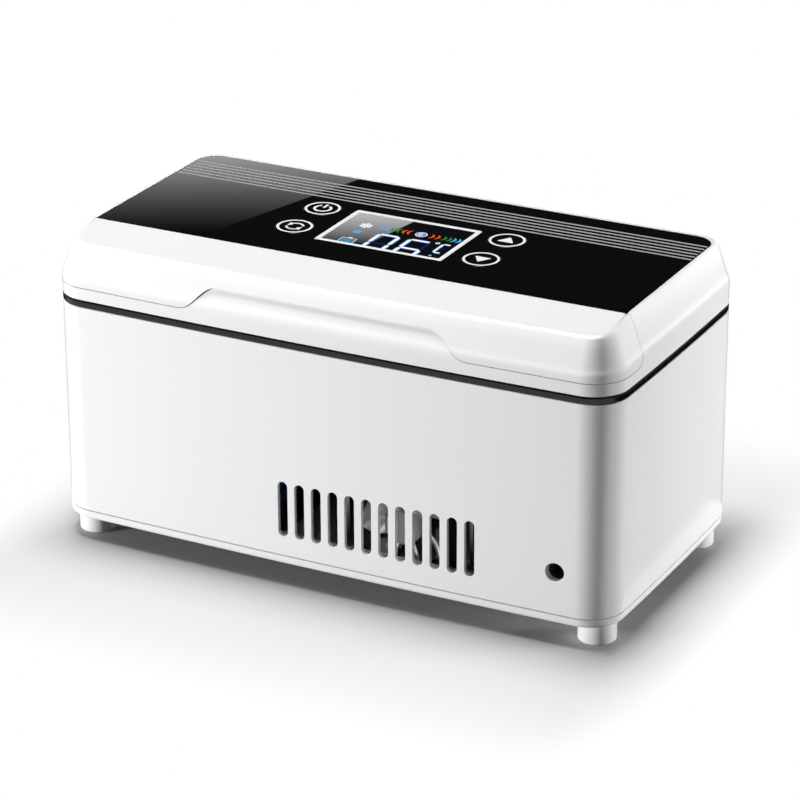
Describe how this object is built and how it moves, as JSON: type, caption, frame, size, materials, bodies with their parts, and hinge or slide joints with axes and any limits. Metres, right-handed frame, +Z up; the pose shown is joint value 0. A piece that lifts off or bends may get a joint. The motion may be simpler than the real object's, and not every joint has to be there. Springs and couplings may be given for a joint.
{
  "type": "insulin cooling case",
  "caption": "Portable insulin cooler box with a hinged lid, a control panel with display and push keys, front vents and a fan.",
  "frame": {"origin": "on the ground under the middle of the case's full width and full depth, hinge included", "axes": "+X right along the long side, +Y to the rear where the lid hinges, +Z up"},
  "size_m": [0.2114, 0.1128, 0.1111],
  "materials": {
    "white_shell": "white glossy injection-moulded ABS",
    "foot_plastic": "white glossy moulded foot",
    "black_trim": "black glossy moulded ABS",
    "black_panel": "black high-gloss acrylic sheet",
    "white_trim": "white moulded display frame",
    "screen_glass": "dark clear display window",
    "inner_plastic": "light grey moulded plastic",
    "dark_plastic": "black moulded plastic",
    "fan_plastic": "light grey moulded plastic",
    "foam": "rigid cream insulation foam",
    "seal": "dark grey silicone seal",
    "aluminium": "brushed natural aluminium",
    "steel": "plated steel",
    "ceramic": "white alumina plates",
    "circuit_board": "green solder-masked board",
    "cell_sleeve": "blue shrink sleeve"
  },
  "bodies": {
    "case": {"body_shell": "white_shell", "base_cover": "white_shell", "foot_front_left": "foot_plastic", "foot_front_right": "foot_plastic", "foot_rear_left": "foot_plastic", "foot_rear_right": "foot_plastic", "base_screw_front_left": "steel", "base_screw_front_right": "steel", "base_screw_rear_left": "steel", "base_screw_rear_right": "steel", "rim_frame": "black_trim", "hinge_pin": "steel", "chamber_gasket": "seal", "chamber_liner": "aluminium", "body_insulation": "foam", "pen_tray": "inner_plastic", "cold_block": "aluminium", "thermoelectric_module": "ceramic", "heat_sink": "aluminium", "temperature_sensor": "dark_plastic", "fan_frame": "dark_plastic", "main_board": "circuit_board", "power_socket": "dark_plastic", "battery_holder": "dark_plastic", "battery_cell_1": "cell_sleeve", "battery_cell_2": "cell_sleeve", "keeper_left": "steel", "keeper_right": "steel"},
    "lid": {"lid_frame": "white_shell", "lid_fascia": "white_shell", "hinge_leaf": "black_trim", "hinge_screw_1": "steel", "hinge_screw_2": "steel", "hinge_screw_3": "steel", "hinge_screw_4": "steel", "control_panel": "black_panel", "display_frame": "white_trim", "display_glass": "screen_glass", "display_module": "dark_plastic", "lid_board": "circuit_board", "switch_power": "dark_plastic", "switch_mode": "dark_plastic", "switch_up": "dark_plastic", "switch_down": "dark_plastic", "lid_liner": "inner_plastic", "lid_insulation": "foam", "magnet_left": "steel", "magnet_right": "steel"},
    "fan": {"fan_rotor": "fan_plastic"},
    "key_power": {"key_power": "black_panel"},
    "key_mode": {"key_mode": "black_panel"},
    "key_up": {"key_up": "black_panel"},
    "key_down": {"key_down": "black_panel"}
  },
  "joints": [
    {"name": "lid_hinge", "type": "hinge", "parent": "case", "child": "lid", "pos_m": [0, 0.05345, 0.0885], "axis": [-1, 0, 0], "range_deg": [0, 100]},
    {"name": "fan_spin", "type": "hinge", "parent": "case", "child": "fan", "pos_m": [0.027, -0.04585, 0.0276], "axis": [0, 1, 0], "continuous": true},
    {"name": "key_power_press", "type": "slide", "parent": "lid", "child": "key_power", "axis": [0, 0, -1], "range_m": [0, 0.0006], "stiffness_N_per_m": 2500, "springref_m": -0.0003},
    {"name": "key_mode_press", "type": "slide", "parent": "lid", "child": "key_mode", "axis": [0, 0, -1], "range_m": [0, 0.0006], "stiffness_N_per_m": 2500, "springref_m": -0.0003},
    {"name": "key_up_press", "type": "slide", "parent": "lid", "child": "key_up", "axis": [0, 0, -1], "range_m": [0, 0.0006], "stiffness_N_per_m": 2500, "springref_m": -0.0003},
    {"name": "key_down_press", "type": "slide", "parent": "lid", "child": "key_down", "axis": [0, 0, -1], "range_m": [0, 0.0006], "stiffness_N_per_m": 2500, "springref_m": -0.0003}
  ]
}
